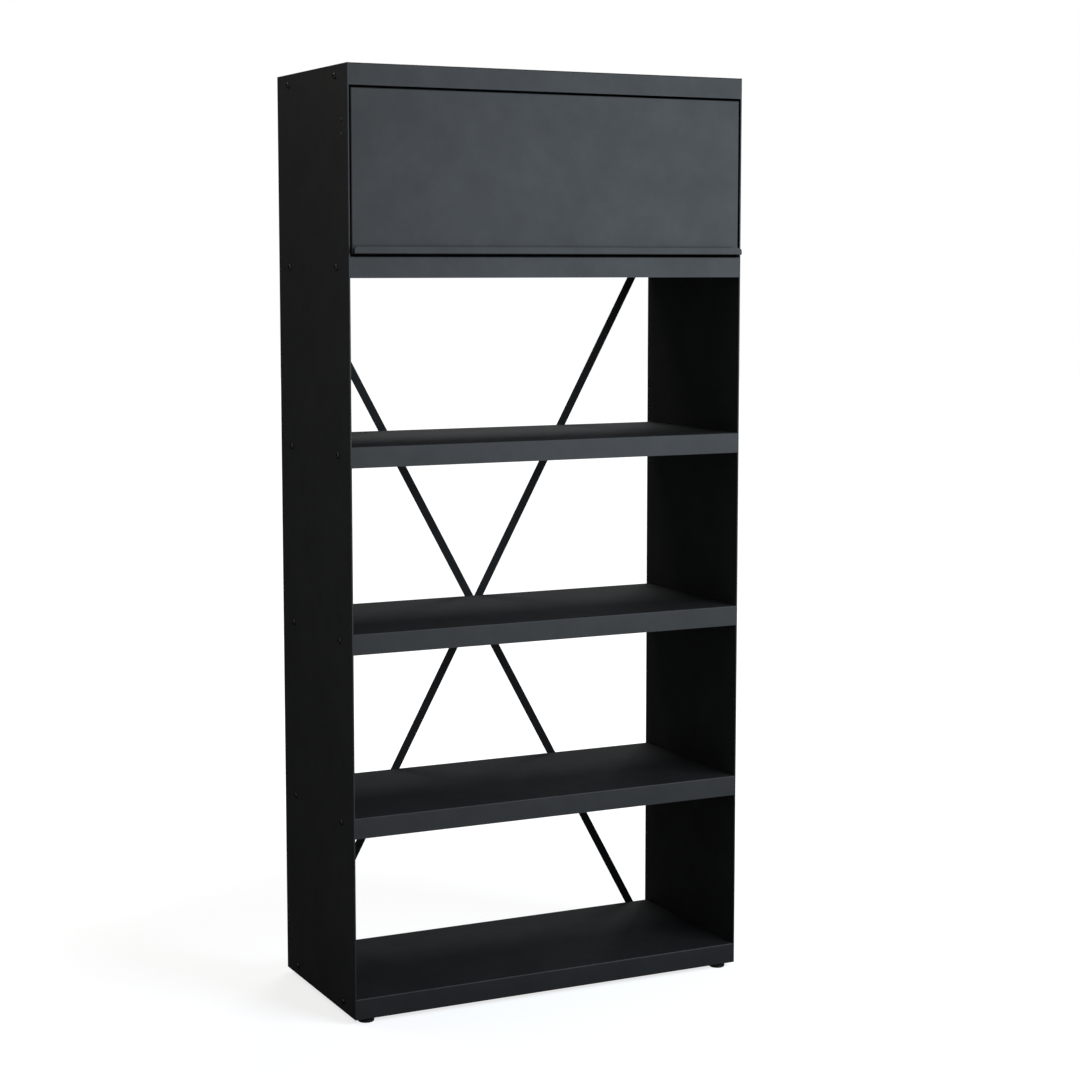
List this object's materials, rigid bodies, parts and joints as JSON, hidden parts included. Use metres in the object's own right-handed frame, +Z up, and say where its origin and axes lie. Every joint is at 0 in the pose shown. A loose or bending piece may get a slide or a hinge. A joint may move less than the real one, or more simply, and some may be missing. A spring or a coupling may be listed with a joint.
{
  "type": "firewood rack",
  "caption": "Tall free-standing firewood rack of folded black sheet steel: open shelves between flat side panels, a flap door at the top, crossed bars at the back and levelling feet.",
  "frame": {"origin": "centre of the rack's box, on the floor under its feet", "axes": "+Z up, -Y to the front where the door is, +X to the right as seen from the front"},
  "size_m": [1.0088, 0.468, 2.16],
  "materials": {
    "black_powder_coat": "satin black powder coat with a fine grain",
    "black_screws": "black coated steel",
    "zinc_plated_steel": "bright zinc plate",
    "black_nylon": "moulded matt black",
    "white_acetal": "moulded off-white",
    "black_rubber": "moulded black"
  },
  "bodies": {
    "rack": {"left_side_panel": "black_powder_coat", "right_side_panel": "black_powder_coat", "bottom_tray": "black_powder_coat", "lower_shelf": "black_powder_coat", "middle_shelf": "black_powder_coat", "upper_shelf": "black_powder_coat", "door_shelf": "black_powder_coat", "top_tray": "black_powder_coat", "back_panel": "black_powder_coat", "rising_brace": "black_powder_coat", "falling_brace": "black_powder_coat", "left_hinge_plate": "black_powder_coat", "right_hinge_plate": "black_powder_coat", "foot_plates": "black_powder_coat", "left_tray_bolts": "black_screws", "right_tray_bolts": "black_screws", "back_panel_screws": "black_screws", "brace_screws": "black_screws", "hinge_screws": "black_screws", "left_tray_nuts": "zinc_plated_steel", "right_tray_nuts": "zinc_plated_steel", "back_panel_nuts": "zinc_plated_steel", "brace_nuts": "zinc_plated_steel", "brace_spacers": "zinc_plated_steel", "left_pivot_pin": "zinc_plated_steel", "right_pivot_pin": "zinc_plated_steel", "disc_springs": "zinc_plated_steel", "pivot_lock_nuts": "zinc_plated_steel", "foot_weld_nuts": "zinc_plated_steel", "foot_lock_nuts": "zinc_plated_steel", "outer_friction_washers": "white_acetal", "inner_friction_washers": "white_acetal", "left_stop_buffers": "black_rubber", "right_stop_buffers": "black_rubber"},
    "door": {"door_panel": "black_powder_coat"},
    "front_left_foot": {"front_left_foot_pad": "black_nylon", "front_left_foot_stud": "zinc_plated_steel"},
    "front_right_foot": {"front_right_foot_pad": "black_nylon", "front_right_foot_stud": "zinc_plated_steel"},
    "rear_left_foot": {"rear_left_foot_pad": "black_nylon", "rear_left_foot_stud": "zinc_plated_steel"},
    "rear_right_foot": {"rear_right_foot_pad": "black_nylon", "rear_right_foot_stud": "zinc_plated_steel"}
  },
  "joints": [
    {"name": "door_lift", "type": "hinge", "parent": "rack", "child": "door", "pos_m": [0, -0.179, 2.022], "axis": [-1, 0, 0], "range_deg": [0, 90]},
    {"name": "front_left_foot_turn", "type": "hinge", "parent": "rack", "child": "front_left_foot", "pos_m": [-0.465, -0.192, 0], "axis": [0, 0, 1], "continuous": true},
    {"name": "front_right_foot_turn", "type": "hinge", "parent": "rack", "child": "front_right_foot", "pos_m": [0.465, -0.192, 0], "axis": [0, 0, 1], "continuous": true},
    {"name": "rear_left_foot_turn", "type": "hinge", "parent": "rack", "child": "rear_left_foot", "pos_m": [-0.465, 0.198, 0], "axis": [0, 0, 1], "continuous": true},
    {"name": "rear_right_foot_turn", "type": "hinge", "parent": "rack", "child": "rear_right_foot", "pos_m": [0.465, 0.198, 0], "axis": [0, 0, 1], "continuous": true}
  ]
}
